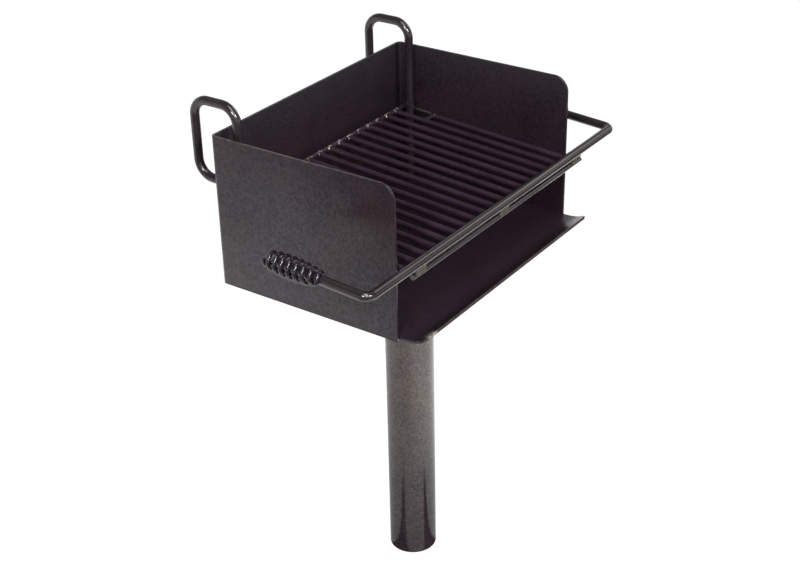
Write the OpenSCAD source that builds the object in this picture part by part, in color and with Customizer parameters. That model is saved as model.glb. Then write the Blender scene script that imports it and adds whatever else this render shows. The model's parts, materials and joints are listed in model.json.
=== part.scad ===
// Pedestal park grill: an open-fronted steel firebox that swivels on a pipe post, with a
// cooking grate that slides up and down two hooped guide rods and is lifted by a U-shaped
// handle with a coil grip on each end. Millimetres, +Z up, the open front faces -Y.
// The origin is the centre of the post's foot.

/* [Post] */
// Outside diameter of the post pipe
post_d = 88.9; // [60:0.1:120]
// Wall of the post pipe
post_wall = 5.5; // [3:0.1:8]
// Height of the firebox's lower edges above the foot of the post
firebox_lift = 640; // [400:1:1000]
// Distance from the post's axis back to the middle of the firebox's depth
post_offset = 17.6; // [0:0.1:60]

/* [Swivel] */
// Length of the stub tube that turns inside the post
stub_l = 120; // [90:1:200]
// Wall of the stub tube
stub_wall = 6; // [5:0.1:10]
// Radial clearance between the stub tube and the post's bore
stub_clear = 0.4; // [0.3:0.05:1]
// How far the bearing plate under the floor stands out round the post
bearing_over = 30.5; // [10:0.5:50]
// Thickness of the bearing plate
bearing_t = 6.4; // [4:0.1:12]
// Depth of the groove in the stub that the retaining screw runs in
groove_depth = 3; // [2:0.1:4]
// Diameter of the headless retaining screw
screw_d = 12; // [8:0.5:16]
// Distance of the retaining screw below the top of the post
screw_drop = 60; // [35:1:75]
// Clearance of the screw's tip in the groove
screw_clear = 0.5; // [0.3:0.05:1]
// How far the screw's outer end lies below the post's surface
screw_inset = 0.5; // [0.2:0.1:1.5]
// Width across the flats of the screw's socket
socket_flats = 6; // [4:0.5:7]
// Depth of the screw's socket
socket_depth = 4; // [2:0.5:5]

/* [Firebox] */
// Width over the side plates
box_w = 534; // [420:1:700]
// Depth of the side plates, to the outside of the back
box_d = 364; // [300:1:480]
// Height of the side and back plates
box_h = 270.5; // [220:0.5:340]
// Thickness of the firebox plate
sheet_t = 4.8; // [3:0.1:8]
// Inside radius of the bends between the back and the sides
sheet_bend = 5; // [3:0.5:12]
// Radius of the upper front corners of the sides
corner_r = 28; // [8:1:60]
// Height of the floor's underside above the lower edges of the sides
floor_raise = 3.2; // [0.5:0.1:20]
// Gap between joined pieces, filled by a weld or a thread
weld_gap = 0.1; // [0.05:0.05:0.3]
// Flat stretch of the floor ahead of the side plates
lip_flat = 12; // [0:1:40]
// Radius of the curled lip, at the upper face of the floor
lip_bend = 72; // [30:1:120]
// Angle through which the lip curls up
lip_angle = 29; // [5:1:60]
// Radius of the lip's corners, seen from above
lip_corner = 10; // [4:1:40]

/* [Guide rods] */
// Diameter of the guide rods
guide_d = 15.9; // [10:0.1:20]
// Distance of the inner leg ahead of the back's outer face
guide_in = 40; // [32:0.5:60]
// Distance of the outer leg behind the back's outer face
guide_out = 50.5; // [45:0.5:90]
// Height of the hoop's top run above the back plate
guide_rise = 47.6; // [35:0.2:90]
// Depth at which the outer leg turns in to the back plate, below its top edge
guide_drop = 90; // [60:1:160]
// Bend radius of the guide rods
guide_bend = 30; // [22:1:35]

/* [Grate] */
// Number of grate bars
bar_count = 18; // [12:1:22]
// Distance of the outermost bars from the side plates
bar_side = 11.9; // [8:0.1:15]
// Clearance between the guide rods and the next bars inside them
bar_clear = 9.5; // [4:0.1:15]
// Diameter of the bars and of the front and rear rods
bar_d = 9.5; // [6:0.1:12]
// Height of the bars above the lower edges, at the middle of the firebox
grate_z = 138; // [120:1:180]
// Slope of the grate, which droops to the front
grate_slope = 4; // [0:0.5:6]
// Distance of the front rod ahead of the side plates
front_out = 29; // [20:1:60]
// How far each end of the front rod lies inside the firebox's width
front_rod_in = 3.5; // [0:0.5:10]
// Clearance between the rear rod and the guide rods
rear_clear = 7.3; // [4:0.1:12]
// Distance of the eye's front run ahead of the guide rod
eye_reach = 48; // [30:1:80]
// Clearance between the eye and the side plate
eye_side = 3; // [1:0.1:4]
// Diameter of the rod that closes each eye
eye_d = 7.9; // [5:0.1:8.5]
// Running clearance between the eye and the outer side of the guide rod
eye_clear = 0.3; // [0.2:0.1:3]
// Bend radius of the eye rods
eye_bend = 8; // [6:0.5:12]

/* [Handle] */
// Diameter of the handle bar
handle_d = 15.9; // [10:0.1:16]
// Distance of each arm outside the side plates
arm_out = 113; // [80:1:160]
// Length of the arms, back from the front run
arm_l = 172; // [150:1:200]
// Height of the handle above the bars
handle_rise = 18.6; // [15:0.1:40]
// Bend radius of the handle bar
handle_bend = 15; // [10:1:50]
// Distance of the outer lugs from the ends of the front rod
lug_in = 18.5; // [16:0.5:80]
// Length of each lug between the handle and the front rod
lug_l = 28; // [10:1:60]
// Thickness of the lugs, front to back
lug_t = 7; // [4:0.5:9]

/* [Coil grips] */
// Diameter of the coil wire
wire_d = 5.5; // [3:0.1:6]
// Number of turns in each coil
coil_turns = 8; // [4:1:9]
// Distance from turn to turn
coil_step = 13; // [8:0.5:15]
// Room between the arm and the coil at the coil's middle
coil_room = 5.6; // [4:0.1:8]
// How much closer to the axis the wire lies at the free end than where it grips
coil_taper = 4.5; // [3:0.1:5]
// Clearance of the coil on the arm, where it grips
coil_clear = 0.15; // [0.1:0.05:0.5]
// How far the end of the arm lies inside the free end of the coil
coil_over = 18.5; // [10:0.5:26]
// Number of turns that stay close on the arm, where the coil grips
coil_hold = 1; // [0.5:0.1:2]
// Straight stretch at each end of the wire
wire_tail = 2; // [1:0.5:30]

/* [Hidden] */
$fn = 96;
black = [0.15, 0.145, 0.15];
rod_black = [0.20, 0.19, 0.19];
post_grey = [0.33, 0.31, 0.30];
screw_grey = [0.45, 0.45, 0.46];

// Rings in one turn of the coil, and sides of its wire
curl_rings = 8;
wire_sides = 6;
// Length by which a cutting solid passes the faces that it cuts
past = 1;

inner_x = box_w / 2 - sheet_t;
front_y = -box_d / 2;
back_y = box_d / 2;
floor_top = floor_raise + sheet_t;
post_top = firebox_lift + floor_raise - bearing_t;
post_bore = post_d / 2 - post_wall;
stub_r = post_bore - stub_clear;
screw_z = post_top - screw_drop;
guide_y = back_y - guide_in;
hoop_y = back_y + guide_out;
hoop_z = box_h + guide_rise;
tail_z = box_h - guide_drop;
eye_x = inner_x - eye_side - eye_d / 2;
guide_x = eye_x - eye_d / 2 - eye_clear - guide_d / 2;
eye_y = guide_y - eye_reach;
outer_bar_x = inner_x - bar_side;
next_bar_x = guide_x - guide_d / 2 - bar_clear - bar_d / 2;
bar_step = 2 * next_bar_x / (bar_count - 3);
grate_front = box_d / 2 + front_out;
grate_rear = guide_y + guide_d / 2 + rear_clear + bar_d / 2;
front_rod_l = box_w - 2 * front_rod_in;
arm_x = box_w / 2 + arm_out;
lug_x = front_rod_l / 2 - lug_in;
lip_front = (lip_bend + sheet_t) * sin(lip_angle);
lip_rise = (lip_bend + sheet_t) * (1 - cos(lip_angle)) + sheet_t;

BARS = [for (i = [1 : bar_count]) str("grate_bar_", i)];

// Frames of the firebox, at the middle of its lower edges, and of the sloping grate
module at_firebox() {
    translate([0, post_offset, firebox_lift]) children();
}

module at_grate() {
    at_firebox() translate([0, 0, grate_z]) rotate([grate_slope, 0, 0]) children();
}

// A flat path's X and Y become the object's Y and Z
module upright() {
    rotate([90, 0, 90]) children();
}

// A round rod along X or Y, centred on its length
module rod_x(l, d) {
    rotate([0, 90, 0]) cylinder(h = l, d = d, center = true);
}

module rod_y(from, to, d) {
    translate([0, from, 0]) rotate([-90, 0, 0]) cylinder(h = to - from, d = d);
}

// A round bar bent along a flat path of points, with every corner at the same radius
function heading(path, i) = atan2(path[i + 1].y - path[i].y, path[i + 1].x - path[i].x);
function wrapped(a) = a > 180 ? a - 360 : a < -180 ? a + 360 : a;
function turn(path, i) = wrapped(heading(path, i) - heading(path, i - 1));
function setback(path, i, bend) =
    i == 0 || i == len(path) - 1 ? 0 : bend * tan(abs(turn(path, i)) / 2);

module bent_bar(path, d, bend) {
    last = len(path) - 1;
    for (i = [0 : last - 1]) {
        start = setback(path, i, bend);
        run = norm(path[i + 1] - path[i]) - start - setback(path, i + 1, bend);
        translate(path[i]) rotate([0, 0, heading(path, i)]) translate([start, 0])
            rotate([0, 90, 0]) cylinder(h = run, d = d);
    }
    for (i = [1 : last - 1]) {
        side = sign(turn(path, i));
        sweep = abs(turn(path, i));
        translate(path[i]) rotate([0, 0, heading(path, i - 1)])
            translate([-setback(path, i, bend), side * bend])
            rotate([0, 0, side > 0 ? -90 : 90 - sweep])
            rotate_extrude(angle = sweep) translate([bend, 0]) circle(d = d);
    }
}

// Post and swivel
module post() {
    color(post_grey) difference() {
        cylinder(h = post_top, d = post_d);
        translate([0, 0, -past]) cylinder(h = post_top + 2 * past, r = post_bore);
        translate([0, 0, screw_z]) rod_y(0, post_d, screw_d + 2 * weld_gap);
    }
}

module retaining_screw() {
    tip = stub_r - groove_depth + screw_clear;
    end = sqrt(pow(post_d / 2, 2) - pow(screw_d / 2, 2)) - screw_inset;
    color(screw_grey) translate([0, 0, screw_z]) difference() {
        rod_y(tip, end, screw_d);
        rod_y(end - socket_depth, end + past, socket_flats / cos(30), $fn = 6);
    }
}

module swivel_stub() {
    groove_w = screw_d + 2 * screw_clear;
    color(post_grey) difference() {
        translate([0, 0, post_top - stub_l]) cylinder(h = stub_l, r = stub_r);
        translate([0, 0, post_top - stub_l - past])
            cylinder(h = stub_l + 2 * past, r = stub_r - stub_wall);
        translate([0, 0, screw_z - groove_w / 2]) rotate_extrude()
            translate([stub_r - groove_depth, 0]) square([groove_depth + past, groove_w]);
    }
}

module bearing_plate() {
    color(black) translate([0, 0, post_top]) cylinder(h = bearing_t, d = post_d + 2 * bearing_over);
}

// Firebox: the floor with its curled lip, and one bent plate for the back and both sides
module floor_outline() {
    half = inner_x - weld_gap;
    rear = back_y - sheet_t - weld_gap;
    front = front_y - lip_flat - lip_front;
    translate([-half, front + lip_corner])
        square([2 * half, rear - sheet_bend - front - lip_corner]);
    translate([lip_corner - half, front]) square([2 * (half - lip_corner), lip_corner]);
    translate([sheet_bend - half, rear - 2 * sheet_bend])
        square([2 * (half - sheet_bend), 2 * sheet_bend]);
    for (side = [-1, 1]) {
        translate([side * (half - lip_corner), front + lip_corner]) circle(r = lip_corner);
        translate([side * (half - sheet_bend), rear - sheet_bend]) circle(r = sheet_bend);
    }
}

module floor_section() {
    lip_start = front_y - lip_flat;
    translate([lip_start, floor_raise]) square([back_y - lip_start, sheet_t]);
    translate([lip_start, floor_top + lip_bend]) intersection() {
        difference() {
            circle(r = lip_bend + sheet_t);
            circle(r = lip_bend);
        }
        rotate(-90 - lip_angle) square(2 * lip_bend);
        translate([-2 * lip_bend, -2 * lip_bend]) square(2 * lip_bend);
    }
}

module floor_plate() {
    color(black) at_firebox() intersection() {
        upright() linear_extrude(height = box_w, center = true) floor_section();
        linear_extrude(height = floor_raise + lip_rise + past) floor_outline();
    }
}

module side_outline() {
    length = box_d - sheet_bend - sheet_t;
    difference() {
        translate([front_y, 0]) square([length, box_h]);
        translate([front_y - past, box_h - corner_r]) square([corner_r + past, corner_r + past]);
    }
    translate([front_y + corner_r, box_h - corner_r]) circle(r = corner_r);
}

module firebox_shell() {
    fold = sheet_bend + sheet_t;
    color(black) at_firebox() {
        for (x = [-box_w / 2, inner_x])
            translate([x, 0, 0]) upright() linear_extrude(height = sheet_t) side_outline();
        translate([fold - box_w / 2, back_y - sheet_t, 0]) cube([box_w - 2 * fold, sheet_t, box_h]);
        for (side = [0, 1])
            translate([(2 * side - 1) * (box_w / 2 - fold), back_y - fold, 0])
                rotate([0, 0, side == 0 ? 90 : 0]) rotate_extrude(angle = 90)
                translate([sheet_bend, 0]) square([sheet_t, box_h]);
    }
}

// Guide rod: up from the floor, over the back plate, and down and in to its outer face
module guide_rod() {
    path = [
        [guide_y, floor_top],
        [guide_y, hoop_z],
        [hoop_y, hoop_z],
        [hoop_y, tail_z],
        [back_y, tail_z]];
    color(rod_black) at_firebox() translate([guide_x, 0, 0]) upright()
        bent_bar(path, guide_d, guide_bend);
}

module guide_rod_left() {
    mirror([1, 0, 0]) guide_rod();
}

module guide_rod_right() {
    guide_rod();
}

// Grate: bars between a front and a rear rod, with an eye round each guide rod
function ends_at_eye(i) = i == 1 || i == bar_count;
function bar_x(i) =
    let (place = i - (bar_count + 1) / 2)
    ends_at_eye(i) ? sign(place) * outer_bar_x : place * bar_step;

module front_rod_solid(gap = 0) {
    translate([0, -grate_front, 0]) rod_x(front_rod_l, bar_d + 2 * gap);
}

module rear_rod_solid(gap = 0) {
    translate([0, grate_rear, 0]) rod_x(2 * eye_x + eye_d, bar_d + 2 * gap);
}

module eye_solid(gap = 0) {
    path = [[bar_x(bar_count - 1), eye_y], [eye_x, eye_y], [eye_x, grate_rear]];
    bent_bar(path, eye_d + 2 * gap, eye_bend);
}

module bar_solid(i, gap = 0) {
    rear = ends_at_eye(i) ? eye_y - eye_d / 2 - weld_gap : grate_rear;
    translate([bar_x(i), 0, 0]) rod_y(-grate_front, rear, bar_d + 2 * gap);
}

module front_rod() {
    color(rod_black) at_grate() front_rod_solid();
}

module rear_rod() {
    color(rod_black) at_grate() rear_rod_solid();
}

module eye_rod() {
    color(rod_black) at_grate() difference() {
        eye_solid();
        bar_solid(bar_count - 1, weld_gap);
        rear_rod_solid(weld_gap);
    }
}

module eye_rod_left() {
    mirror([1, 0, 0]) eye_rod();
}

module eye_rod_right() {
    eye_rod();
}

module grate_bar(i) {
    color(rod_black) at_grate() difference() {
        bar_solid(i);
        front_rod_solid(weld_gap);
        rear_rod_solid(weld_gap);
    }
}

// Handle: a U-shaped bar round the front, carried above the front rod on three lugs
module handle_front(gap = 0) {
    translate([0, -grate_front, handle_rise]) rod_x(2 * arm_x, handle_d + 2 * gap);
}

module handle_bar() {
    arm_end = arm_l - grate_front;
    path = [
        [-arm_x, arm_end],
        [-arm_x, -grate_front],
        [arm_x, -grate_front],
        [arm_x, arm_end]];
    color(rod_black) at_grate() translate([0, 0, handle_rise])
        bent_bar(path, handle_d, handle_bend);
}

module handle_lug(x) {
    color(rod_black) at_grate() difference() {
        translate([x - lug_l / 2, -grate_front - lug_t / 2, 0]) cube([lug_l, lug_t, handle_rise]);
        front_rod_solid(weld_gap);
        handle_front(weld_gap);
        for (i = [1 : bar_count]) bar_solid(i, weld_gap);
    }
}

module handle_lug_left() {
    handle_lug(-lug_x);
}

module handle_lug_middle() {
    handle_lug(0);
}

module handle_lug_right() {
    handle_lug(lug_x);
}

// Coil grip: one wire that winds from the free tip, swells to the middle and narrows again
// to grip the arm. It starts and ends on the coil's -Y side, where a straight stretch carries
// on in the direction of the turn. The coil's axis is +X, from the tip towards the front.
wire_r = wire_d / 2;
coil_rings = coil_turns * curl_rings;
coil_mid_r = handle_d / 2 + coil_room + wire_r;
coil_grip_r = (handle_d / 2 + wire_r + coil_clear) / cos(180 / curl_rings);
coil_tip_r = coil_grip_r - coil_taper;
swell = 0.4;

function coil_r(turns) =
    let (share = min(1, turns / (coil_turns - coil_hold)),
         neck = coil_tip_r + (coil_grip_r - coil_tip_r) * share)
    neck + (coil_mid_r - neck) * pow(sin(180 * share), swell);
function coil_point(i) =
    let (turns = i / curl_rings, angle = 360 * turns - 180, r = coil_r(turns))
    [coil_step * turns, r * cos(angle), r * sin(angle)];

function unit(v) = v / norm(v);
function wire_end(r) = wire_tail * unit([coil_step / (2 * PI), 0, -r]);
wire_path = concat(
    [coil_point(0) - wire_end(coil_tip_r)],
    [for (i = [0 : coil_rings]) coil_point(i)],
    [coil_point(coil_rings) + wire_end(coil_grip_r)]);

function along(path, i) = unit(path[min(i + 1, len(path) - 1)] - path[max(i - 1, 0)]);
function across(path, i) =
    let (t = along(path, i), out = [0, path[i].y, path[i].z])
    unit(out - t * (out * t));
function ring(path, i) =
    let (n = across(path, i), b = cross(along(path, i), n))
    [for (k = [0 : wire_sides - 1])
        path[i] + wire_r * (n * cos(360 * k / wire_sides) + b * sin(360 * k / wire_sides))];

// Least gap between stretches of the wire that lie more than half a turn apart
wire_gap = min([
    for (i = [0 : len(wire_path) - 1])
        for (j = [i + curl_rings / 2 + 1 : 1 : len(wire_path) - 1])
            norm(wire_path[i] - wire_path[j])]) - wire_d;
echo(least_gap_of_the_coil_wire = wire_gap);

module coil_wire() {
    rings = len(wire_path);
    points = [for (i = [0 : rings - 1]) each ring(wire_path, i)];
    corner = function (i, k) i * wire_sides + k % wire_sides;
    walls = [
        for (i = [0 : rings - 2]) for (k = [0 : wire_sides - 1]) each [
            [corner(i, k), corner(i, k + 1), corner(i + 1, k)],
            [corner(i, k + 1), corner(i + 1, k + 1), corner(i + 1, k)]]];
    tip = [for (k = [1 : wire_sides - 2]) [corner(0, 0), corner(0, k + 1), corner(0, k)]];
    tail = [
        for (k = [1 : wire_sides - 2])
            [corner(rings - 1, 0), corner(rings - 1, k), corner(rings - 1, k + 1)]];
    polyhedron(points, concat(walls, tip, tail));
}

// The same coil goes on both arms
module coil_grip(x) {
    tip_y = arm_l - grate_front + coil_over;
    color(rod_black) at_grate() translate([x, tip_y, handle_rise])
        rotate([0, 0, -90]) coil_wire();
}

module coil_grip_left() {
    coil_grip(-arm_x);
}

module coil_grip_right() {
    coil_grip(arm_x);
}

post();
retaining_screw();
swivel_stub();
bearing_plate();
floor_plate();
firebox_shell();
guide_rod_left();
guide_rod_right();
front_rod();
rear_rod();
eye_rod_left();
eye_rod_right();
handle_bar();
handle_lug_left();
handle_lug_middle();
handle_lug_right();
coil_grip_left();
coil_grip_right();
for (i = [1 : bar_count])
    grate_bar(i);
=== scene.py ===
"""Looks of a pedestal park grill: paint, eased plate edges, weld beads and coil grips, in metres."""
import json
import math
import random

import bpy
from mathutils import Matrix, Vector


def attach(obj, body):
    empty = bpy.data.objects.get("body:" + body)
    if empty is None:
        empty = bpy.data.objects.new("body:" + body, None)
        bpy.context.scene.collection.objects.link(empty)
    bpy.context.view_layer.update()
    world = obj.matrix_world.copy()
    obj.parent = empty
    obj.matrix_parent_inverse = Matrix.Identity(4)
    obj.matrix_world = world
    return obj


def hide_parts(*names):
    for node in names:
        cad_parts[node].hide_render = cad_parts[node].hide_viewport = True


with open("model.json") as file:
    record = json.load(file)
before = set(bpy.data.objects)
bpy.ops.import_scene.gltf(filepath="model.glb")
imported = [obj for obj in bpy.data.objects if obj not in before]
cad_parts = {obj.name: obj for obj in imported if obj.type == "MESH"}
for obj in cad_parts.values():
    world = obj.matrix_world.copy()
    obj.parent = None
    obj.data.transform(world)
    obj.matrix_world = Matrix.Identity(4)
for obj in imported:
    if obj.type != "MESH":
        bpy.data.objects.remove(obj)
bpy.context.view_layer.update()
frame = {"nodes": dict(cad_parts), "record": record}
nodes = frame["nodes"]

# Sizes of the grill, in millimetres, as in the part's source, but with a thicker wire in the coils
MM = 0.001
POST_R, POST_OFFSET, FIREBOX_LIFT = 44.45, 17.6, 640.0
BOX_W, BOX_D, BOX_H = 534.0, 364.0, 270.5
SHEET, SHEET_BEND, CORNER_R = 4.8, 5.0, 28.0
INNER_X, BACK_Y = BOX_W / 2 - SHEET, BOX_D / 2
FLOOR_UNDER, WELD_GAP = 3.2, 0.1
FLOOR_TOP = FLOOR_UNDER + SHEET
LIP_FLAT, LIP_BEND, LIP_ANGLE, LIP_CORNER = 12.0, 72.0, 29.0, 10.0
BEARING_R = 74.95
GUIDE_D, GUIDE_X, GUIDE_Y, GUIDE_BEND = 15.9, 243.05, 142.0, 30.0
HOOP_Y, HOOP_Z, TAIL_Z = 232.5, 318.1, 180.5
GRATE_Z, GRATE_SLOPE = 138.0, 4.0
BAR_D, BAR_COUNT, NEXT_BAR_X, OUTER_BAR_X = 9.5, 18, 220.85, 250.3
GRATE_FRONT, GRATE_REAR = 211.0, 162.0
EYE_X, EYE_Y, EYE_D = 255.25, 94.0, 7.9
HANDLE_D, ARM_X, ARM_L, HANDLE_RISE, HANDLE_BEND = 15.9, 380.0, 172.0, 18.6, 15.0
LUG_X, LUG_L, LUG_T = 245.0, 28.0, 7.0
WIRE_R, COIL_TURNS, COIL_HOLD, COIL_STEP, WIRE_TAIL = 3.2, 8, 1, 13.0, 2.0
COIL_MID_R, COIL_GRIP_R, COIL_TIP_R = 15.85, 11.3, 6.8
COIL_OVER, COIL_SWELL = 18.5, 0.4

# Detail that only the scene has, in millimetres
# Turn of each grip on its arm, in degrees, and how much further back it sits
GRIP_SEATS = {"left": (0, 0.0), "right": (-60, 5.0)}
# Radii of the weld beads, and length and radius of the lumps on the rear rod
BAR_BEAD, EYE_BEAD, LUG_BEAD, HOOP_BEAD, FLOOR_BEAD, BEARING_BEAD = 1.7, 1.6, 1.9, 2.1, 1.8, 2.1
LUMP_L, LUMP_R = 16.0, 2.3
# Heights over the grate of the two beads on each face of a lug
LUG_BEAD_Z = (3.9, 11.0)
# Starts of the bead runs under the floor's sides and their length
FLOOR_RUNS, FLOOR_RUN_L = (-150, -60, 30, 110), 45
# Starts of the bead arcs round the bearing plate and their span, in degrees
BEARING_ARCS, BEARING_SPAN = (20, 110, 200, 290), 38
# Points closer than this are one point
MERGE = 0.01
# Angles between faces, in degrees, up to which a piece and a weld are shaded smooth
SMOOTH, WELD_SMOOTH = 35.0, 60.0

# Places on the standing grill that the paint follows, in millimetres
PLATE_FRONT, PLATE_BACK = POST_OFFSET - BACK_Y, POST_OFFSET + BACK_Y
PLATE_FOOT, PLATE_TOP = FIREBOX_LIFT, FIREBOX_LIFT + BOX_H
FLOOR_LEVEL = FIREBOX_LIFT + FLOOR_TOP
LIP_EDGE = PLATE_FRONT - LIP_FLAT - LIP_BEND * math.sin(math.radians(LIP_ANGLE))
# Depths in the sheet between which the paint of one face gives way to that of the other
NEAR_SKIN, FAR_SKIN = 1.2, 3.6

ACROSS, BACKWARDS, UP = Vector((1, 0, 0)), Vector((0, 1, 0)), Vector((0, 0, 1))
AT_FIREBOX = Matrix.Translation(Vector((0, POST_OFFSET, FIREBOX_LIFT)) * MM)
AT_GRATE = (AT_FIREBOX @ Matrix.Translation((0, 0, GRATE_Z * MM))
            @ Matrix.Rotation(math.radians(GRATE_SLOPE), 4, 'X'))
# A flat path's X and Y become the firebox's Y and Z
UPRIGHT = Matrix(((0, 0, 1, 0), (1, 0, 0, 0), (0, 1, 0, 0), (0, 0, 0, 1)))


def rgb(red, green, blue):
    return (red, green, blue, 1.0)


# Colours of the plates' enamel and of the marks on it
ENAMEL_DEEP, ENAMEL_LIGHT = rgb(0.0072, 0.0024, 0.0064), rgb(0.0263, 0.0137, 0.0234)
PINK_BROWN, SLATE = rgb(0.0300, 0.0150, 0.0185), rgb(0.0150, 0.0130, 0.0160)
# Of the next two colours, the first is a painted sheen for the plates' upper edges inside.
RIM_SHEEN_SLATE, PORE_BLACK = rgb(0.0300, 0.0250, 0.0330), rgb(0.005, 0.0020, 0.0045)
# Of the next two colours, the first is painted shade; the second is partly scuff grey, partly painted
# highlight on edges.
FRONT_SHADE_BLACK, SCUFF_AND_HIGHLIGHT_GREY = rgb(0.008, 0.0035, 0.0065), rgb(0.095, 0.075, 0.076)
# Of the next two colours, the first is a painted warm sheen for the lip's edge.
LIP_SHEEN_BROWN, CHIP_GREY = rgb(0.060, 0.043, 0.030), rgb(0.46, 0.42, 0.38)
# Of the next two colours, the second is partly fire-dulled enamel, partly painted fill light on the floor
# inside.
HEM_BLACK, BURNT_AND_FILL_BROWN = rgb(0.006, 0.0042, 0.0050), rgb(0.0330, 0.0175, 0.0300)
# Colours of the post's paint: darker and purpler at its foot, as painted shade, and further up
SHADED_FOOT_DEEP, SHADED_FOOT_LIGHT = rgb(0.006, 0.0026, 0.0054), rgb(0.042, 0.0235, 0.0315)
PIPE_DEEP, PIPE_LIGHT = rgb(0.010, 0.0044, 0.0042), rgb(0.066, 0.0370, 0.0350)
OCHRE, PIT_BLACK = rgb(0.060, 0.0430, 0.0160), rgb(0.006, 0.0030, 0.0050)
# Colours of flecks, of bare steel on the welds, and of the screw
FLECK, BARE_STEEL = rgb(0.08, 0.066, 0.058), rgb(0.50, 0.46, 0.43)
DULL_STEEL, RUST = rgb(0.34, 0.33, 0.32), rgb(0.12, 0.06, 0.035)
# Paints of rods and welds: deep and light colour, gloss, roughness and share of bare steel
ROD_LOOKS = {
    "rod_paint": (rgb(0.0150, 0.0090, 0.0125), rgb(0.0360, 0.0255, 0.0300), 0.60, 0.13, 0.0),
    "bar_paint": (rgb(0.0225, 0.0100, 0.0210), rgb(0.0410, 0.0222, 0.0375), 0.20, 0.32, 0.0),
    "grip_paint": (rgb(0.0120, 0.0058, 0.0112), rgb(0.0285, 0.0170, 0.0262), 0.62, 0.12, 0.0),
    # The lugs' light khaki, also on their welds, is a painted warm sheen.
    "lug_painted_sheen": (rgb(0.045, 0.038, 0.028), rgb(0.130, 0.115, 0.082), 0.45, 0.32, 0.0),
    "weld_steel": (rgb(0.0150, 0.0090, 0.0120), rgb(0.0400, 0.0280, 0.0280), 0.58, 0.20, 0.42)}
# CAD nodes, by their names without the last word, whose paint isn't that of their slot; the lugs' light
# khaki is a painted warm sheen
OWN_PAINTS = {"grate_bar": "bar_paint", "rear": "bar_paint", "handle_lug": "lug_painted_sheen"}

# Camera: lens and sensor in millimetres, place in metres, turns in degrees
LENS, SENSOR_W = 65.916, 36.0
CAMERA_PLACE = Vector((-1.8754, -1.3180, 1.8360))
AZIMUTH, ELEVATION, ROLL = -54.527, 28.797, -1.292
# Level directions from the post to the camera, and to the camera's right
TOWARDS = Vector((CAMERA_PLACE.x, CAMERA_PLACE.y, 0)).normalized()
RIGHTWARDS = Vector((-TOWARDS.y, TOWARDS.x, 0))
# Strength of the light all round, and of the ceiling that gloss reflects, in front and behind
AMBIENT, CEILING, ROOF_BEHIND = 0.42, 0.12, 0.22
# Floor: its side, and how far it runs past the post towards the camera and to the right, in metres
FLOOR_SIZE, FLOOR_AHEAD, FLOOR_ASIDE = 14.0, 1.25, 1.20
# Floor's glow, and what gloss sees less of it all over, and more of it on the right and the left
FLOOR_GLOW, GLOSS_LESS, GLOSS_RIGHT, GLOSS_LEFT, GLOSS_POOL = 1.24, 0.18, 0.85, 0.10, 0.12
# Shares of the glow, over the matt floor, that show directly and in gloss
GLOW_SEEN, GLOW_MIRRORED = 0.72, 0.9
WHITE, FLOOR_WHITE = rgb(1, 1, 1), rgb(0.86, 0.86, 0.86)
# Shade round the post at its darkest, and directions of the post's shadows, in degrees
POST_SHADE, SHADOW_WAYS = 0.62, (173, -86)
# Lamps: place, aim, and width and height in metres, watts, colour, and whether only gloss sees them
LAMPS = {
    "left_lamp": ((-2.7, -1.0, 2.5), (0, 0, 0.75), (0.6, 0.6), 50, (1, 1, 1), False),
    "right_lamp": ((-0.9, -2.7, 2.6), (0, 0, 0.75), (0.6, 0.6), 68, (1, 1, 1), False),
    "strip_lamp": ((-1.05, -1.0, 2.45), (-0.3, -0.1, 0.80), (0.62, 2.6), 44, (1, 1, 1), True),
    "panel_lamp": ((1.75, -0.75, 2.45), (0, -0.25, 0.8), (1.0, 1.6), 10, (1.0, 0.93, 0.78), True)}


class Wire:
    """One output of a finish's nodes; sums and products of wires add Math nodes."""

    def __init__(self, finish, socket):
        self.finish = finish
        self.socket = socket

    def math(self, operation, first, second=0.0):
        return self.finish.add("ShaderNodeMath", {"operation": operation}, {0: first, 1: second})

    def __add__(self, other):
        return self.math("ADD", self, other)

    def __sub__(self, other):
        return self.math("SUBTRACT", self, other)

    def __rsub__(self, other):
        return self.math("SUBTRACT", other, self)

    def __mul__(self, other):
        return self.math("MULTIPLY", self, other)

    def __pow__(self, other):
        return self.math("POWER", self, other)

    def __abs__(self):
        return self.math("ABSOLUTE", self)

    def above(self, other):
        return self.math("MAXIMUM", self, other)

    def below(self, other):
        return self.math("MINIMUM", self, other)

    __radd__ = __add__
    __rmul__ = __mul__


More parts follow.
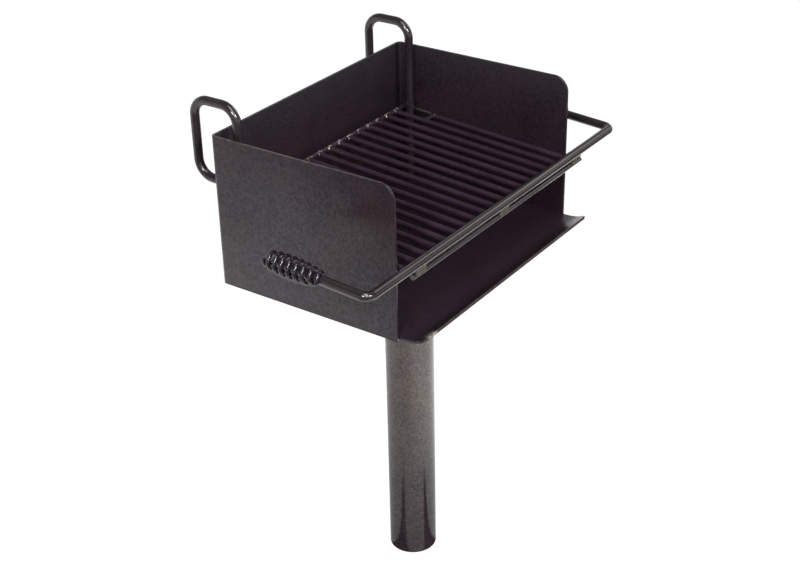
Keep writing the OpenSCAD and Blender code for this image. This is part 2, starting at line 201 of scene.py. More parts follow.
class Finish:
    """The nodes of one material or of the world."""

    def __init__(self, owner):
        owner.use_nodes = True
        self.tree = owner.node_tree
        self.tree.nodes.clear()
        self.owner = owner

    def add(self, kind, settings, sockets, output=0):
        """Adds a node and gives its output, or a list of outputs where output is a tuple."""
        node = self.tree.nodes.new(kind)
        for name, value in settings.items():
            setattr(node, name, value)
        for name, value in sockets.items():
            if isinstance(value, Wire):
                self.tree.links.new(value.socket, node.inputs[name])
            else:
                node.inputs[name].default_value = value
        if isinstance(output, tuple):
            return [Wire(self, node.outputs[name]) for name in output]
        return Wire(self, node.outputs[output]) if node.outputs else None

    def ramp(self, value, low, high):
        """0 at low and before it, 1 at high and past it, straight between."""
        return self.add("ShaderNodeMapRange", {}, {"Value": value, "From Min": low, "From Max": high})

    def span(self, value, low, high):
        """A ramp between two places in millimetres."""
        return self.ramp(value, low * MM, high * MM)

    def noise(self, place, size, detail=3.0, rough=0.55):
        """Noise whose largest forms are about size millimetres across."""
        return self.add("ShaderNodeTexNoise", {}, {
            "Vector": place, "Scale": 1 / (size * MM), "Detail": detail, "Roughness": rough})

    def patches(self, place, size, low, high, detail=3.0, rough=0.55):
        """Patches of that noise, from its level low, where they begin, to high, where they are full."""
        return self.ramp(self.noise(place, size, detail, rough), low, high)

    def blend(self, share, first, second):
        """Colour that goes from the first to the second as share rises."""
        factor, first_colour, second_colour = 0, 6, 7
        sockets = {factor: share, first_colour: first, second_colour: second}
        return self.add("ShaderNodeMix", {"data_type": 'RGBA'}, sockets, output=2)

    def layers(self, colour, coats):
        """The colour under coats of (share, colour), laid one over the other."""
        for share, coat in coats:
            colour = self.blend(share, colour, coat)
        return colour

    def place(self, kind="Object"):
        return self.add("ShaderNodeTexCoord", {}, {}, output=kind)

    def axes(self, place):
        return self.add("ShaderNodeSeparateXYZ", {}, {0: place}, output=(0, 1, 2))

    def bump(self, strength, height):
        return self.add("ShaderNodeBump", {}, {
            "Strength": strength, "Distance": 0.4 * MM, "Height": height})

    def surface(self, sockets):
        """Ends a material in a Principled shader with these sockets."""
        shader = self.add("ShaderNodeBsdfPrincipled", {}, sockets)
        self.add("ShaderNodeOutputMaterial", {}, {"Surface": shader})
        return self.owner


def outer_face(finish, x):
    """1 on the outside of the firebox's sides, 0 inside."""
    return finish.span(abs(x), INNER_X + NEAR_SKIN, INNER_X + FAR_SKIN)


def inside(finish, x, y):
    """1 inside the firebox, 0 on the outside of its back and sides."""
    return (1 - outer_face(finish, x)) * finish.span(y, PLATE_BACK - NEAR_SKIN, PLATE_BACK - FAR_SKIN)


def edge_wear_and_sheen(finish, place):
    """Scuffs mixed with a painted highlight on the left plate's top and the plates' front edges, a painted
    warm sheen on the lip's edge, and chips.
    """
    x, y, z = finish.axes(place)
    over_lip = FLOOR_LEVEL + 14
    left = finish.span(x, 2 - INNER_X, -INNER_X) * finish.span(y, PLATE_FRONT, PLATE_FRONT + 250)
    upper = finish.span(z, PLATE_TOP - 0.9, PLATE_TOP - 0.4) * left
    side = finish.span(y, PLATE_FRONT + 0.8, PLATE_FRONT + 0.3) * finish.span(z, over_lip, over_lip + 2)
    curl = finish.span(y, LIP_EDGE + 2.0, LIP_EDGE + 0.5)
    scuffs_and_highlight = finish.patches(place, 9, 0.44, 0.60, 4.0, 0.65)
    corner = finish.span(x, -222, -232) * finish.span(x, -254, -243)
    corner = corner * finish.span(y, LIP_EDGE + 14, LIP_EDGE + 5)
    chips = corner * finish.patches(place, 6, 0.47, 0.55, 3.0, 0.6)
    return upper.above(side * 0.12) * (scuffs_and_highlight * 0.8 + 0.2), curl * (scuffs_and_highlight * 0.7 + 0.3), chips


def painted_front_shade(finish, place):
    """Painted shade on the outside of the sides towards the open front, strongest high up."""
    x, y, z = finish.axes(place)
    reach = finish.span(y, PLATE_FRONT + 210, PLATE_FRONT + 20)
    reach = reach * finish.span(z, PLATE_TOP - 260, PLATE_TOP - 90)
    return reach * outer_face(finish, x) * (0.55 + finish.patches(place, 55, 0.35, 0.65, 4.0, 0.6) * 0.45)


def burnt_and_fill_floor(finish, place):
    """1 on the flat of the floor inside, where fires have dulled the enamel; its lighter colour there is
    painted fill light.
    """
    x, y, z = finish.axes(place)
    below = finish.span(z, FLOOR_LEVEL + 3.0, FLOOR_LEVEL + 0.5)
    above = finish.span(z, FLOOR_LEVEL - 1.0, FLOOR_LEVEL - 0.5)
    return below * above * inside(finish, x, y)


def dark_hem(finish, place):
    """1 on the lowest millimetres of the plates' outside, which are painted darker and less glossy."""
    x, y, z = finish.axes(place)
    return finish.span(z, PLATE_FOOT + 2.6, PLATE_FOOT + 1.0) * (1 - inside(finish, x, y))


def painted_rim_sheen(finish, place):
    """Painted sheen inside the firebox, along the plates' upper edges."""
    x, y, z = finish.axes(place)
    reach = finish.span(z, PLATE_TOP - 85, PLATE_TOP - 5) * inside(finish, x, y)
    return reach * (0.7 + finish.patches(place, 40, 0.35, 0.65, 4.0, 0.6) * 0.3)


def glazed(finish, place, colour, grain, pits, gloss, rough, relief, coat_rough, coat_ior):
    """Paint under a clear coat; relief is the strength of its bump, gloss the share of the coat."""
    height = finish.noise(place, 2.4, 2.0, 0.5) * 0.5 + grain * 0.5 - pits * 0.3
    return finish.surface({
        "Base Color": colour, "Roughness": rough + (grain - 0.5) * 0.2,
        "Normal": finish.bump(relief, height), "Specular IOR Level": 0.08,
        "Coat Weight": gloss.below(1.0).above(0.0), "Coat Roughness": coat_rough, "Coat IOR": coat_ior})


def plate_paint():
    """Black enamel: pink-brown and slate clouds, a grainy sheen, pores, scuffed edges and chips, with
    painted shade, sheen, highlight and fill light.
    """
    finish = Finish(bpy.data.materials.new("plate_paint"))
    place = finish.place()
    cloud = finish.patches(place, 95, 0.33, 0.67, 5.0, 0.6)
    grain = finish.patches(place, 5.0, 0.36, 0.65, 4.0, 0.8)
    brown = finish.patches(place, 150, 0.44, 0.64, 4.0, 0.6)
    slate = finish.patches(place, 120, 0.50, 0.66, 4.0, 0.6)
    pores = finish.patches(place, 4.2, 0.39, 0.29, 2.0, 0.5)
    front_shade, rim_sheen = painted_front_shade(finish, place), painted_rim_sheen(finish, place)
    hem, burnt_and_fill = dark_hem(finish, place), burnt_and_fill_floor(finish, place)
    scuffs_and_highlight, curl, chips = edge_wear_and_sheen(finish, place)
    colour = finish.blend(cloud * 0.35 + grain * 0.65, ENAMEL_DEEP, ENAMEL_LIGHT)
    # Among these coats are painted sheen along the upper edges inside, painted shade towards the open
    # front, painted highlight mixed with scuffs on the edges, a painted warm sheen on the lip's edge and
    # painted fill light on the floor inside.
    colour = finish.layers(colour, (
        (brown * 0.55, PINK_BROWN), (slate * 0.35, SLATE), (rim_sheen * 0.6, RIM_SHEEN_SLATE), (pores * 0.5, PORE_BLACK),
        (front_shade * 0.35, FRONT_SHADE_BLACK), (scuffs_and_highlight, SCUFF_AND_HIGHLIGHT_GREY), (curl * 0.8, LIP_SHEEN_BROWN),
        (chips * 0.65, CHIP_GREY), (hem * 0.7, HEM_BLACK), (burnt_and_fill * 0.4, BURNT_AND_FILL_BROWN)))
    gloss = (0.43 + grain * 0.60 + cloud * 0.10 - pores * 0.25 - scuffs_and_highlight * 0.4) * (1 - front_shade * 0.46)
    gloss = gloss * (1 - burnt_and_fill * 0.6) * (1 - hem * 0.7)
    return glazed(finish, place, colour, grain, pores, gloss,
                  rough=0.55, relief=0.12, coat_rough=0.28, coat_ior=1.5)


def post_paint():
    """Dark brown pipe paint under a clear gloss, with fine speckle, ochre clouds and pits; painted shade
    makes it darker and purpler towards the foot.
    """
    finish = Finish(bpy.data.materials.new("post_paint"))
    place = finish.place()
    cloud = finish.patches(place, 120, 0.34, 0.66, 4.0, 0.55)
    grain = finish.patches(place, 5.0, 0.36, 0.65, 4.0, 0.8)
    ochre = finish.patches(place, 100, 0.46, 0.64)
    pits = finish.patches(place, 4.0, 0.36, 0.28, 2.0, 0.5)
    height = finish.axes(place)[2]
    high = finish.span(height, 120, 360)
    share = cloud * 0.25 + grain * 0.75
    # Painted shade: the foot's colours are darker and purpler than those further up.
    foot = finish.blend(share, SHADED_FOOT_DEEP, SHADED_FOOT_LIGHT)
    upper = finish.blend(share, PIPE_DEEP, PIPE_LIGHT)
    colour = finish.layers(finish.blend(high, foot, upper), (
        (ochre * high * 0.45, OCHRE), (pits * 0.6, PIT_BLACK)))
    gloss = (0.48 + grain * 0.48 + cloud * 0.08 - pits * 0.30) * (1 - high * 0.14)
    return glazed(finish, place, colour, grain, pits, gloss,
                  rough=0.5, relief=0.08, coat_rough=0.13, coat_ior=1.88)


def rod_paint(name, deep, light, gloss, rough, steel):
    """Dip paint on round bars, cloudy and flecked; steel is the share that is bare, as on bright welds."""
    finish = Finish(bpy.data.materials.new(name))
    place = finish.place()
    cloud = finish.patches(place, 60, 0.34, 0.68, 5.0, 0.6)
    mottle = finish.patches(place, 6, 0.30, 0.72, 4.0, 0.65)
    flecks = finish.patches(place, 2.2, 0.63, 0.74, 2.0, 0.5)
    colour = finish.blend(cloud * 0.65 + mottle * 0.35, deep, light)
    colour = finish.blend(flecks * 0.3, colour, FLECK)
    sockets = {"Base Color": colour, "Roughness": rough + mottle * 0.06 + flecks * 0.10,
               "Normal": finish.bump(0.01, mottle), "Specular IOR Level": gloss}
    if steel:
        bare = finish.patches(place, 5, 0.66 - steel * 0.4, 0.74 - steel * 0.4, 4.0, 0.6)
        sockets["Base Color"] = finish.blend(bare, colour, BARE_STEEL)
        sockets["Metallic"] = bare * 0.9
        sockets["Roughness"] = rough + mottle * 0.06 + bare * 0.18
    return finish.surface(sockets)


def screw_finish():
    """Dull steel with fine marks and brown specks."""
    finish = Finish(bpy.data.materials.new("screw_steel"))
    place = finish.place()
    marks = finish.noise(place, 1.1, 3.0)
    rust = finish.patches(place, 3.8, 0.52, 0.70, 4.0, 0.65)
    return finish.surface({
        "Base Color": finish.blend(rust, DULL_STEEL, RUST), "Roughness": 0.36 + rust * 0.35,
        "Metallic": 1 - rust * 0.9, "Normal": finish.bump(0.12, marks)})


FINISHES = {"plate_paint": plate_paint(), "post_paint": post_paint(), "screw_steel": screw_finish()}
for rod_look, values in ROD_LOOKS.items():
    FINISHES[rod_look] = rod_paint(rod_look, *values)


def start_piece():
    if bpy.context.object and bpy.context.object.mode != 'OBJECT':
        bpy.ops.object.mode_set(mode='OBJECT')
    bpy.ops.object.select_all(action='DESELECT')


def pick(piece):
    start_piece()
    piece.select_set(True)
    bpy.context.view_layer.objects.active = piece


def edit(select='SELECT'):
    bpy.ops.object.mode_set(mode='EDIT')
    bpy.ops.mesh.select_all(action=select)


def select_points(piece, wanted):
    """Selects the points of the piece whose place, in millimetres, is wanted."""
    edit('DESELECT')
    bpy.ops.mesh.select_mode(type='VERT')
    bpy.ops.object.mode_set(mode='OBJECT')
    for point in piece.data.vertices:
        point.select = bool(wanted(point.co / MM))
    bpy.ops.object.mode_set(mode='EDIT')
    bpy.ops.mesh.select_mode(type='VERT')


def draw_out(step):
    bpy.ops.mesh.extrude_region_move(TRANSFORM_OT_translate={"value": Vector(step) * MM})


def turn_round(centre, axis, degrees, steps):
    """Spins what is selected; without a window, spin turns the other way."""
    bpy.ops.mesh.spin(steps=steps, dupli=False, angle=-math.radians(degrees),
                      center=Vector(centre) * MM, axis=axis)


def finish_modifier(piece, kind, **settings):
    modifier = piece.modifiers.new(kind.lower(), kind)
    for name, value in settings.items():
        setattr(modifier, name, value)
    bpy.ops.object.modifier_apply(modifier=modifier.name)


def ease_edges(piece, width, angle):
    finish_modifier(piece, 'BEVEL', width=width * MM, segments=3,
                    limit_method='ANGLE', angle_limit=math.radians(angle))


def outward(piece):
    """Merges doubled points of the active piece and points its faces outwards."""
    edit()
    bpy.ops.mesh.remove_doubles(threshold=MERGE * MM)
    bpy.ops.mesh.normals_make_consistent(inside=False)
    bpy.ops.object.mode_set(mode='OBJECT')


def set_down(piece, name, place, body, slot, angle=SMOOTH, finish=None):
    """Puts a finished piece in its place, with the place in its mesh.

    finish names its paint where that isn't its slot's.
    """
    bpy.ops.object.mode_set(mode='OBJECT')
    piece.name = piece.data.name = name
    piece.matrix_world = place @ piece.matrix_world
    bpy.ops.object.transform_apply(location=True, rotation=True, scale=True)
    bpy.ops.object.shade_smooth_by_angle(angle=math.radians(angle))
    piece.data.materials.clear()
    piece.data.materials.append(FINISHES[finish or slot])
    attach(piece, body)
    return piece


def pair(piece):
    """The piece and a copy of it, for the left and the right."""
    pick(piece)
    bpy.ops.object.duplicate(linked=False)
    return (-1, "left", piece), (1, "right", bpy.context.object)


def flat_sheet(width, depth, centre, tilt=0):
    """A flat sheet of that width and depth, tilted about Y, for bending and thickening."""
    start_piece()
    bpy.ops.mesh.primitive_plane_add(size=1.0)
    sheet = bpy.context.object
    sheet.scale = Vector((width, depth, 1)) * MM
    sheet.rotation_euler = (0, math.radians(tilt), 0)
    sheet.location = Vector(centre) * MM
    bpy.ops.object.transform_apply(location=True, rotation=True, scale=True)
    return sheet


def thicken(sheet, face):
    """Gives a sheet its wall, on the side that looks away from face."""
    ahead = Vector(face).dot(sheet.data.polygons[0].normal) > 0
    finish_modifier(sheet, 'SOLIDIFY', thickness=SHEET * MM, offset=-1 if ahead else 1)
    outward(sheet)


def bent_rod(path, diameter, bend, sides=72, bend_steps=30):
    """A round rod along a flat path, drawn out straight and spun round each corner."""
    points = [Vector((x, y, 0)) for x, y in path]
    ways = [(b - a).normalized() for a, b in zip(points, points[1:])]
    start_piece()
    heading = math.atan2(ways[0].y, ways[0].x)
    bpy.ops.mesh.primitive_circle_add(vertices=sides, radius=diameter / 2 * MM, fill_type='NGON',
                                      location=points[0] * MM, rotation=(0, math.pi / 2, heading))
    rod = bpy.context.object
    bpy.ops.object.transform_apply(location=True, rotation=True, scale=True)
    edit()
    used = 0.0
    for i, way in enumerate(ways):
        length = (points[i + 1] - points[i]).length
        if i == len(ways) - 1:
            draw_out(way * (length - used))
            break
        turn = math.degrees(math.atan2(way.cross(ways[i + 1]).z, way.dot(ways[i + 1])))
        setback = bend * math.tan(math.radians(abs(turn)) / 2)
        draw_out(way * (length - used - setback))
        left = Vector((-way.y, way.x, 0)) * math.copysign(bend, turn)
        turn_round(points[i + 1] - way * setback + left, UP, turn, bend_steps)
        used = setback
    outward(rod)
    ease_edges(rod, width=0.8, angle=60)
    return rod


def firebox_plate():
    """Back and sides: one plate, drawn out round two bends, with rounded upper front corners."""
    fold_steps, corner_steps = 8, 14
    outer, fold = BOX_W / 2, SHEET_BEND + SHEET
    side_l = BOX_D - fold
    plate = flat_sheet(BOX_H, side_l, (-outer, -BACK_Y + side_l / 2, BOX_H / 2), tilt=-90)
    select_points(plate, lambda p: p.y > 0)
    turn_round((fold - outer, BACK_Y - fold, 0), UP, -90, fold_steps)
    draw_out((BOX_W - 2 * fold, 0, 0))
    turn_round((outer - fold, BACK_Y - fold, 0), UP, -90, fold_steps)
    draw_out((0, -side_l, 0))
    select_points(plate, lambda p: p.y < 0.5 - BACK_Y and p.z > BOX_H - 1)
    bpy.ops.mesh.bevel(offset=CORNER_R * MM, segments=corner_steps, affect='VERTICES')
    edit()
    bpy.ops.mesh.remove_doubles(threshold=MERGE * MM)
    bpy.ops.object.mode_set(mode='OBJECT')
    thicken(plate, -ACROSS)
    ease_edges(plate, width=0.7, angle=50)
    piece = set_down(plate, "firebox_plate", AT_FIREBOX, "firebox", "plate_paint")
    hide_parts("firebox_shell")


def round_corners(x, y):
    """Rounds the front corners of the active plate by cuts round (x, y) and (-x, y)."""
    cuts = 9
    edit()
    for side in (-1, 1):
        for i in range(1, cuts):
            turn = math.pi / 2 * i / cuts
            way = Vector((side * math.sin(turn), -math.cos(turn), 0))
            bpy.ops.mesh.select_all(action='SELECT')
            bpy.ops.mesh.bisect(plane_co=(Vector((side * x, y, 0)) + way * LIP_CORNER) * MM, plane_no=way,
                                use_fill=True, clear_outer=True)
    bpy.ops.object.mode_set(mode='OBJECT')


def floor_tray():
    """Floor plate with its curled front lip."""
    corner_steps, lip_steps = 6, 12
    half = INNER_X - WELD_GAP
    rear, front = BACK_Y - SHEET - WELD_GAP, -BACK_Y - LIP_FLAT
    tray = flat_sheet(2 * half, rear - front, (0, (rear + front) / 2, FLOOR_TOP))
    select_points(tray, lambda p: p.y > rear - 1)
    bpy.ops.mesh.bevel(offset=SHEET_BEND * MM, segments=corner_steps, affect='VERTICES')
    select_points(tray, lambda p: p.y < front + 0.1)
    turn_round((0, front, FLOOR_TOP + LIP_BEND), ACROSS, -LIP_ANGLE, lip_steps)
    bpy.ops.object.mode_set(mode='OBJECT')
    thicken(tray, UP)
    tip = front - (LIP_BEND + SHEET) * math.sin(math.radians(LIP_ANGLE))
    round_corners(half - LIP_CORNER, tip + LIP_CORNER)
    ease_edges(tray, width=0.7, angle=50)
    piece = set_down(tray, "floor_tray", AT_FIREBOX, "firebox", "plate_paint")
    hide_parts("floor_plate")


def guide_hoops():
    """Hooped rods that stand on the floor, pass over the back plate and end on its outside."""
    path = [(GUIDE_Y, FLOOR_TOP), (GUIDE_Y, HOOP_Z), (HOOP_Y, HOOP_Z), (HOOP_Y, TAIL_Z), (BACK_Y, TAIL_Z)]
    for side, word, hoop in pair(bent_rod(path, GUIDE_D, GUIDE_BEND)):
        pick(hoop)
        place = AT_FIREBOX @ Matrix.Translation((side * GUIDE_X * MM, 0, 0)) @ UPRIGHT
        piece = set_down(hoop, "guide_hoop_" + word, place, "firebox", "rod_paint")
        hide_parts("guide_rod_" + word)


def lifting_handle():
    """U-shaped bar round the front, with an arm on each side."""
    end = ARM_L - GRATE_FRONT
    path = [(-ARM_X, end), (-ARM_X, -GRATE_FRONT), (ARM_X, -GRATE_FRONT), (ARM_X, end)]
    handle = bent_rod(path, HANDLE_D, HANDLE_BEND)
    place = AT_GRATE @ Matrix.Translation((0, 0, HANDLE_RISE * MM))
    piece = set_down(handle, "lifting_handle", place, "grate", "rod_paint")
    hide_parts("handle_bar")


def tube_piece(lines, ring=3):
    """Tubes along lines of (point, radius), in millimetres, as one mesh."""
    start_piece()
    curve = bpy.data.curves.new("tube", 'CURVE')
    curve.dimensions = '3D'
    curve.bevel_depth = MM
    curve.bevel_resolution = ring
    curve.use_fill_caps = True
    for line in lines:
        spline = curve.splines.new('POLY')
        spline.points.add(len(line) - 1)
        for point, (place, radius) in zip(spline.points, line):
            point.co = (*(Vector(place) * MM), 1.0)
            point.radius = radius
    tube = bpy.data.objects.new("tube", curve)
    bpy.context.scene.collection.objects.link(tube)
    bpy.context.view_layer.objects.active = tube
    tube.select_set(True)
    bpy.ops.object.convert(target='MESH')
    tube = bpy.context.object
    outward(tube)
    return tube


def coil_radius(turns):
    """Radius of the coil's wire after some turns from the tip."""
    share = min(1.0, max(0.0, turns / (COIL_TURNS - COIL_HOLD)))
    neck = COIL_TIP_R + (COIL_GRIP_R - COIL_TIP_R) * share
    return neck + (COIL_MID_R - neck) * math.sin(math.pi * share) ** COIL_SWELL


def coil_line():
    """Wire of a grip: it winds from the free tip, swells, and closes on the arm in its last turn."""
    steps, spread = 72, 9
    line = []
    for i in range(COIL_TURNS * steps + 1):
        turn = 2 * math.pi * i / steps - math.pi
        near = [coil_radius((i + k) / steps) for k in range(-spread, spread + 1)]
        r = max(sum(near) / len(near), COIL_TIP_R)
        line.append(Vector((r * math.cos(turn), -COIL_STEP * i / steps, r * math.sin(turn))))
    first = (line[1] - line[0]).normalized() * WIRE_TAIL
    last = (line[-1] - line[-2]).normalized() * WIRE_TAIL
    return [(point, WIRE_R) for point in [line[0] - first] + line + [line[-1] + last]]


def grip_coils():
    """A coil of wire on the end of each arm."""
    tip = ARM_L - GRATE_FRONT + COIL_OVER
    for side, word, coil in pair(tube_piece([coil_line()], ring=12)):
        pick(coil)
        turn, further = GRIP_SEATS[word]
        place = (AT_GRATE @ Matrix.Translation(Vector((side * ARM_X, tip + further, HANDLE_RISE)) * MM)
                 @ Matrix.Rotation(math.radians(turn), 4, 'Y'))
        piece = set_down(coil, "grip_coil_" + word, place, "grate", "rod_paint", WELD_SMOOTH, "grip_paint")
        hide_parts("coil_grip_" + word)


# A fixed seed, so that each run draws the same beads
draw = random.Random(7)


def bead(points, radius):
    """A weld bead: its radius ripples along the run and falls off at both ends."""
    wave, pace, uneven = 0.12, 2.1, 0.10
    tip, growth = 0.45, 0.4
    line, last = [], len(points) - 1
    for i, point in enumerate(points):
        ripple = wave * math.sin(pace * i) + draw.uniform(-uneven, uneven)
        end = min(1.0, tip + growth * min(i, last - i))
        line.append((point, radius * end * (1 + ripple)))
    return line


def lump(centre, length, radius):
    """A short thick weld across a bar."""
    steps, thinnest, stray, uneven = 10, 0.18, 0.3, 0.08
    line = []
    for i in range(steps + 1):
        turn = math.pi * (i / steps - 0.5)
        point = Vector(centre) + Vector((length / 2 * math.sin(turn), draw.uniform(-stray, stray), 0))
        thick = radius * max(thinnest, math.cos(turn) ** 0.5)
        line.append((point, thick * (1 + draw.uniform(-uneven, uneven))))
    return line


def arc(centre, first, second, radius, start, stop, steps):
    """Points on an arc from start to stop degrees, from the first direction to the second."""
    turns = [math.radians(start + (stop - start) * i / steps) for i in range(steps + 1)]
    return [Vector(centre) + (first * math.cos(t) + second * math.sin(t)) * radius for t in turns]


def run(start, stop, step=1.3):
    """Points on a straight line, about a step apart."""
    start, stop = Vector(start), Vector(stop)
    count = max(4, round((stop - start).length / step))
    return [start.lerp(stop, i / count) for i in range(count + 1)]


def bar_places():
    """X of the grate's bars, from left to right."""
    inner = [-NEXT_BAR_X + 2 * NEXT_BAR_X * i / (BAR_COUNT - 3) for i in range(BAR_COUNT - 2)]
    return [-OUTER_BAR_X] + inner + [OUTER_BAR_X]


def bar_joint(x, rod_y, way):
    """Weld over the top of a bar where it butts against a cross rod."""
    steps, reach = 18, 105
    r = BAR_D / 2
    points = []
    for i in range(steps + 1):
        turn = math.radians(-reach + 2 * reach * i / steps)
        back = r * abs(math.sin(turn)) + 0.6
        points.append((x + r * math.sin(turn), rod_y - way * back, r * math.cos(turn)))
    return bead(points, BAR_BEAD)


def saddle(centre, first, radius, thick):
    """Weld over the top of a rod, from a little below its middle on one side to the other."""
    return bead(arc(centre, first, UP, radius, -20, 200, 16), thick)


def grate_welds():
    """Painted welds of the bars on the front rod and of the eyes."""
    lines = [bar_joint(x, -GRATE_FRONT, -1) for x in bar_places()]
    eye_r, sunk = EYE_D / 2, BAR_D / 2 * 0.9
    for side in (-1, 1):
        lines.append(saddle((side * (NEXT_BAR_X + sunk), EYE_Y, 0), -BACKWARDS, eye_r, BAR_BEAD))
        lines.append(saddle((side * OUTER_BAR_X, EYE_Y - eye_r, 0), ACROSS, sunk, BAR_BEAD))
        lines.append(saddle((side * EYE_X, GRATE_REAR - sunk, 0), ACROSS, eye_r, EYE_BEAD))
    set_down(tube_piece(lines), "grate_welds", AT_GRATE, "grate", "rod_paint", WELD_SMOOTH, "bar_paint")


def rear_welds():
    """Bright welds of the bars on the rear rod: a bead round the bar and a lump across it."""
    lines = []
    for x in bar_places()[1:-1]:
        lines.append(bar_joint(x, GRATE_REAR, 1))
        lines.append(lump((x, GRATE_REAR - 3.2, BAR_D / 2 - 0.4), LUMP_L, LUMP_R))
    set_down(tube_piece(lines), "rear_welds", AT_GRATE, "grate", "rod_paint", WELD_SMOOTH, "weld_steel")


def lug_welds():
    """Beads along both faces of each lug, on the front rod and on the handle."""
    lines = []
    for x in (-LUG_X, 0, LUG_X):
        for way in (-1, 1):
            y = -GRATE_FRONT + way * (LUG_T / 2 + 0.4)
            for z in LUG_BEAD_Z:
                lines.append(bead(run((x - LUG_L / 2, y, z), (x + LUG_L / 2, y, z)), LUG_BEAD))
    # Their light khaki paint is a painted warm sheen.
    set_down(tube_piece(lines), "lug_welds", AT_GRATE, "grate", "rod_paint", WELD_SMOOTH, "lug_painted_sheen")


def firebox_welds():
    """Beads round the hoops' ends, under the floor's sides and round the bearing plate."""
    lines = []
    hoop_r, under = GUIDE_D / 2 + 0.6, FLOOR_UNDER - 0.6
    for side in (-1, 1):
        x, wall = side * GUIDE_X, side * (INNER_X - 0.8)
        foot, tail = (x, GUIDE_Y, FLOOR_TOP + 0.8), (x, BACK_Y + 0.8, TAIL_Z)
        lines.append(bead(arc(foot, ACROSS, BACKWARDS, hoop_r, 0, 350, 44), HOOP_BEAD))
        lines.append(bead(arc(tail, ACROSS, UP, hoop_r, 0, 350, 44), HOOP_BEAD))
        for y in FLOOR_RUNS:
            lines.append(bead(run((wall, y, under), (wall, y + FLOOR_RUN_L, under)), FLOOR_BEAD))
    centre, ring_r = (0, -POST_OFFSET, FLOOR_UNDER - 0.8), BEARING_R + 0.7
    for start in BEARING_ARCS:
        stop = start + BEARING_SPAN
        lines.append(bead(arc(centre, ACROSS, BACKWARDS, ring_r, start, stop, 40), BEARING_BEAD))
    set_down(tube_piece(lines), "firebox_welds", AT_FIREBOX, "firebox", "plate_paint", WELD_SMOOTH)


def dress_nodes():
    """The carried-over CAD nodes take the finish of their slot; bars and lugs have their own."""
    for row in frame["record"]["subparts"]:
        node = nodes[row["node"]]
        kind = row["node"].rsplit("_", 1)[0]
        node.data.materials.clear()
        node.data.materials.append(FINISHES[OWN_PAINTS.get(kind, row["material_slot"])])


def make_camera():
    azimuth, elevation, roll = (math.radians(a) for a in (AZIMUTH, ELEVATION, ROLL))
    back = Vector((math.sin(azimuth) * math.cos(elevation), -math.cos(azimuth) * math.cos(elevation),
                   math.sin(elevation)))
    right = (-back).cross(UP).normalized()
    up = right.cross(-back)
    side = right * math.cos(roll) + up * math.sin(roll)
    top = up * math.cos(roll) - right * math.sin(roll)
    data = bpy.data.cameras.new("camera")
    data.sensor_fit, data.sensor_width, data.lens = 'HORIZONTAL', SENSOR_W, LENS
    camera = bpy.data.objects.new("camera", data)
    turn = Matrix((side, top, back)).transposed().to_4x4()
    camera.matrix_world = Matrix.Translation(CAMERA_PLACE) @ turn
    bpy.context.scene.collection.objects.link(camera)
    bpy.context.scene.camera = camera


def ray_kinds(finish):
    """1 for the rays that see a place directly, in gloss and through glass."""
    kinds = ("Is Camera Ray", "Is Glossy Ray", "Is Transmission Ray")
    return finish.add("ShaderNodeLightPath", {}, {}, output=kinds)


def make_world():
    """White for what sees it directly; gloss sees a white backdrop and horizon and a dark ceiling."""
    world = bpy.data.worlds.new("studio")
    bpy.context.scene.world = world
    finish = Finish(world)
    # Of the world, Generated is the direction of a ray, 1 long
    x, y, height = finish.axes(finish.place("Generated"))
    seen, mirrored, through = ray_kinds(finish)
    direct = (seen + through).below(1.0)
    away = x * -TOWARDS.x + y * -TOWARDS.y
    backdrop = finish.ramp(away, 0.15, 0.45) * finish.ramp(height, 0.48, 0.30)
    horizon = finish.ramp(height, 0.36, 0.06)
    white = backdrop.above(horizon) * finish.ramp(height, -0.10, -0.02)
    roof = finish.ramp(away, 0.0, 0.3) * finish.ramp(height, 0.0, 0.1)
    ceiling = CEILING + roof * (ROOF_BEHIND - CEILING)
    studio = ceiling + white * (1 - ceiling)
    strength = direct + (1 - direct) * (AMBIENT + mirrored * (studio - AMBIENT))
    light = finish.add("ShaderNodeBackground", {}, {"Color": WHITE, "Strength": strength})
    finish.add("ShaderNodeOutputWorld", {}, {"Surface": light})


def post_shadow(finish, x, y):
    """Soft shade on the floor round the post, and two shadows about its width that run out from it."""
    away = (x * x + y * y) ** 0.5
    shade = finish.ramp(away, 0.60, 0.06) * POST_SHADE
    for direction in SHADOW_WAYS:
        way = Vector((math.cos(math.radians(direction)), math.sin(math.radians(direction))))
        out = x * way.x + y * way.y
        off = abs(x * way.y - y * way.x)
        strip = finish.span(off, POST_R * 0.95, POST_R * 0.45) * finish.ramp(out, 0.0, 0.01)
        shade = shade.above(strip * finish.ramp(out, 0.40, 0.24))
    return shade


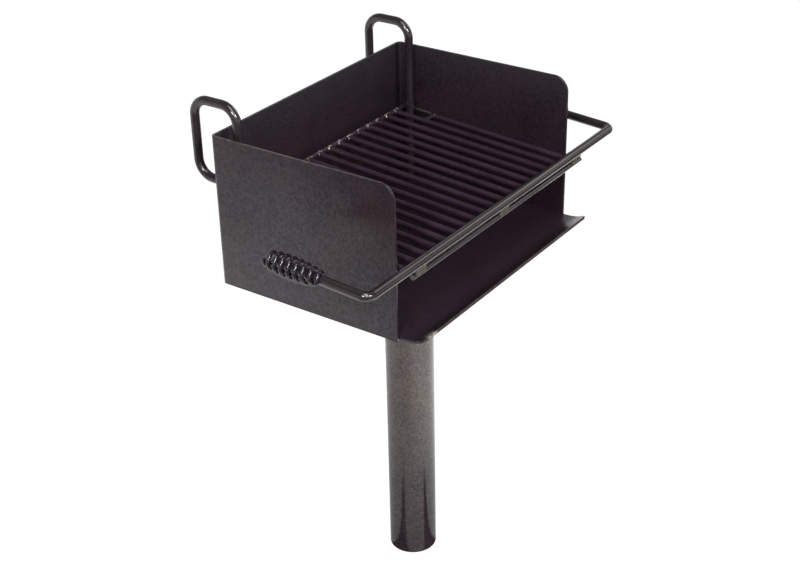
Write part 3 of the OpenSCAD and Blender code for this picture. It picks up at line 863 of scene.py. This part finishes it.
def floor_finish():
    """White where it is seen directly, with the grill's shadow; gloss sees it brighter to the right."""
    finish = Finish(bpy.data.materials.new("studio_floor"))
    seen, mirrored, through = ray_kinds(finish)
    x, y, _ = finish.axes(finish.place())
    across = x * RIGHTWARDS.x + y * RIGHTWARDS.y
    left = finish.ramp(across, -0.60, -0.90)
    pool = left * GLOSS_LEFT + finish.ramp(across, -1.75, -1.30) * left * GLOSS_POOL
    lit = finish.ramp(across, -0.15, 0.45) * GLOSS_RIGHT
    shade = post_shadow(finish, x, y) * mirrored
    strength = (1 - shade) * (FLOOR_GLOW + mirrored * (lit + pool - GLOSS_LESS))
    matt = finish.add("ShaderNodeBsdfDiffuse", {}, {"Color": FLOOR_WHITE})
    glow = finish.add("ShaderNodeEmission", {}, {"Color": WHITE, "Strength": strength})
    shown = (seen + through) * GLOW_SEEN + mirrored * GLOW_MIRRORED
    both = finish.add("ShaderNodeMixShader", {}, {0: shown.below(1.0), 1: matt, 2: glow})
    finish.add("ShaderNodeOutputMaterial", {}, {"Surface": both})
    return finish.owner


def make_floor():
    """Floor that ends in front and to the right of the grill, where gloss sees a dark studio."""
    middle = TOWARDS * (FLOOR_AHEAD - FLOOR_SIZE / 2) + RIGHTWARDS * (FLOOR_ASIDE - FLOOR_SIZE / 2)
    start_piece()
    bpy.ops.mesh.primitive_plane_add(size=FLOOR_SIZE, location=middle,
                                     rotation=(0, 0, math.atan2(TOWARDS.y, TOWARDS.x)))
    floor = bpy.context.object
    floor.name = "studio_floor"
    bpy.ops.object.transform_apply(location=True, rotation=True, scale=True)
    floor.data.materials.append(floor_finish())


def make_lamp(name, place, aim, size, watts, colour, gloss_only):
    data = bpy.data.lights.new(name, 'AREA')
    data.shape, data.size, data.size_y = 'RECTANGLE', size[0], size[1]
    data.energy, data.color = watts, colour
    lamp = bpy.data.objects.new(name, data)
    way = Vector(aim) - Vector(place)
    lamp.matrix_world = Matrix.Translation(place) @ way.to_track_quat('-Z', 'Y').to_matrix().to_4x4()
    lamp.visible_camera = False
    lamp.visible_diffuse = not gloss_only
    bpy.context.scene.collection.objects.link(lamp)


make_camera()
dress_nodes()
firebox_plate()
floor_tray()
guide_hoops()
lifting_handle()
grip_coils()
grate_welds()
rear_welds()
lug_welds()
firebox_welds()
make_floor()
make_world()
for lamp_name, lamp_row in LAMPS.items():
    make_lamp(lamp_name, *lamp_row)
bpy.context.scene.view_settings.view_transform = 'Standard'
